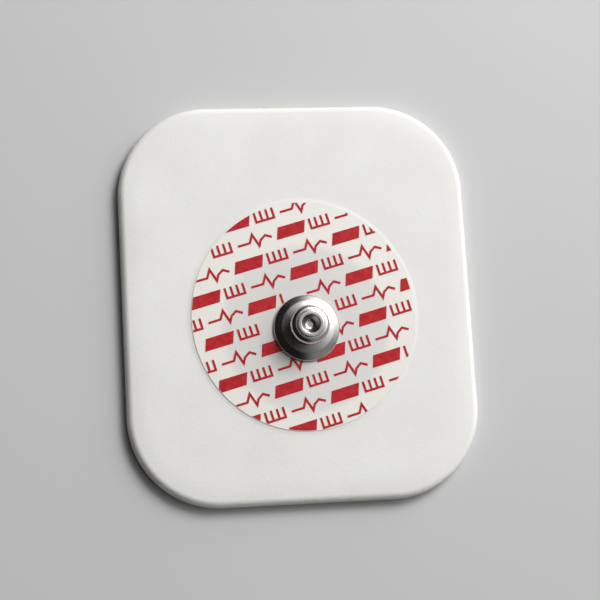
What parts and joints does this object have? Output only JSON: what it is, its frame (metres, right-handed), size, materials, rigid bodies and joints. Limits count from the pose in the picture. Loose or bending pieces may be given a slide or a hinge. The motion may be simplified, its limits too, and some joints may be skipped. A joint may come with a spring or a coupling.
{
  "type": "ecg electrode",
  "caption": "Flat foam monitoring electrode with rounded corners, an off-centre printed film disc, a pressed metal snap stud and a gel pad set into its skin side.",
  "frame": {"origin": "middle of the pad's rounded rectangle, on the plane of its skin side", "axes": "+Z out of the skin side towards the snap stud, +Y along the longer side towards the end further from the stud, +X to the right with the stud towards the viewer"},
  "size_m": [0.035, 0.04, 0.0047],
  "materials": {
    "foam": "soft white closed-cell foam",
    "film": "satin white film",
    "ink": "printed red",
    "stud": "bright pressed stainless",
    "eyelet": "dull silver coat",
    "gel": "clear wet gel"
  },
  "bodies": {
    "root": {"foam_backing": "foam", "label_film": "film", "label_print": "ink", "snap_stud": "stud", "sensor_eyelet": "eyelet", "gel_disc": "gel"}
  },
  "joints": []
}
